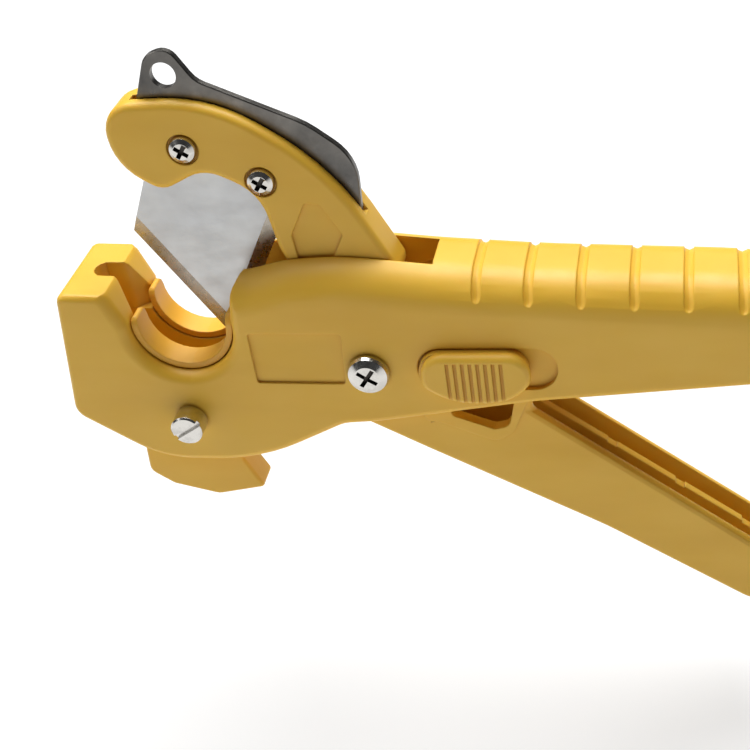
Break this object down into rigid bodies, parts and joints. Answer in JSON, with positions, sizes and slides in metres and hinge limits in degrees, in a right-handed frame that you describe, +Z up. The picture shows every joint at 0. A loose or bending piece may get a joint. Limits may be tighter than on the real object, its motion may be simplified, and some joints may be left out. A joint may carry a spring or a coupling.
{
  "type": "pvc pipe cutter",
  "caption": "Yellow plastic one-hand PVC pipe cutter with a pointed steel blade, hanging plate, U cradle and sliding handle lock.",
  "frame": {"origin": "centre of the bounding box", "axes": "+X along the upper handle, away from the jaw; +Y through the thickness, from the front cheek with the lock slider to the rear one; +Z up, with the blade arm above the jaw"},
  "size_m": [0.1898, 0.0316, 0.1511],
  "materials": {
    "yellow_plastic": "satin",
    "pad_plastic": "satin",
    "steel": "brushed",
    "dark_steel": "satin",
    "chrome": "polished",
    "spring_steel": "satin"
  },
  "bodies": {
    "root": {"body": "yellow_plastic", "cradle_pad_front": "pad_plastic", "cradle_pad_rear": "pad_plastic", "jaw_shoe": "yellow_plastic", "jaw_pin": "chrome", "jaw_pin_nut": "chrome", "pivot_screw": "chrome", "pivot_nut": "chrome", "pivot_sleeve": "steel", "pivot_washer_front": "steel", "pivot_washer_rear": "steel"},
    "lever": {"lever": "yellow_plastic", "spine_plate": "dark_steel", "blade": "steel", "blade_screw_outer": "chrome", "blade_screw_inner": "chrome", "blade_nut_outer": "chrome", "blade_nut_inner": "chrome", "return_spring": "spring_steel"},
    "lock": {"lock_slider": "yellow_plastic", "lock_tongue": "pad_plastic", "lock_screw": "chrome"}
  },
  "joints": [
    {"name": "lever_hinge", "type": "hinge", "parent": "root", "child": "lever", "pos_m": [-0.01708, 0.00275, -0.00095], "axis": [0, -1, 0], "range_deg": [-12, 26], "stiffness_Nm_per_rad": 1.2},
    {"name": "lock_slide", "type": "slide", "parent": "root", "child": "lock", "axis": [1, 0, 0], "range_m": [0, 0.006]}
  ]
}
